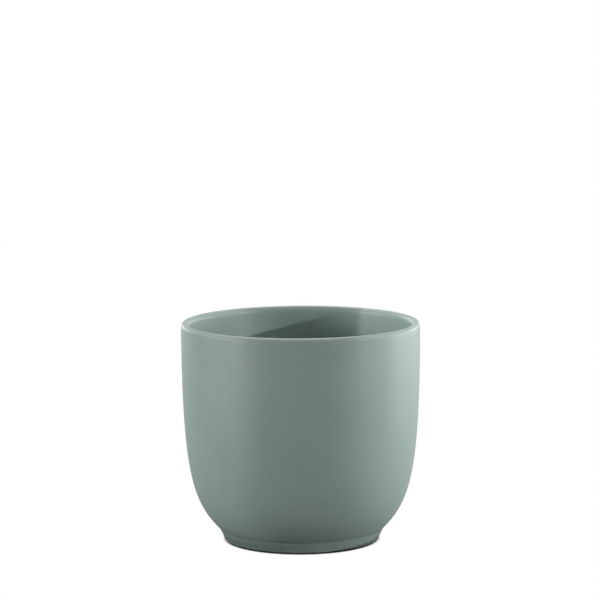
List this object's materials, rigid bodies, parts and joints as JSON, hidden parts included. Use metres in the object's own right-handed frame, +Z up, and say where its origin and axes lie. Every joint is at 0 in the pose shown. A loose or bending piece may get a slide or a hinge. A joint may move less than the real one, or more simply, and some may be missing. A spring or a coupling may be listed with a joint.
{
  "type": "brush holder pot",
  "caption": "Round ceramic desk pot for brushes or pens: straight mouth with a rounded lip, egg-curved bowl, low foot ring and protective pads under the base.",
  "frame": {"origin": "on the pot's axis, on the desk surface it stands on, which is the pads' underside", "axes": "+Z up along the axis the pot was turned on, towards the mouth; -Y is the front; +X is to the right seen from the front"},
  "size_m": [0.14, 0.14, 0.1292],
  "materials": {
    "glaze": "matt sage green glaze, bare clay on the foot ring's underside",
    "pad_felt": "pressed grey felt"
  },
  "bodies": {
    "root": {"pot_body": "glaze", "pad_back_right": "pad_felt", "pad_back_left": "pad_felt", "pad_front_left": "pad_felt", "pad_front_right": "pad_felt"}
  },
  "joints": []
}
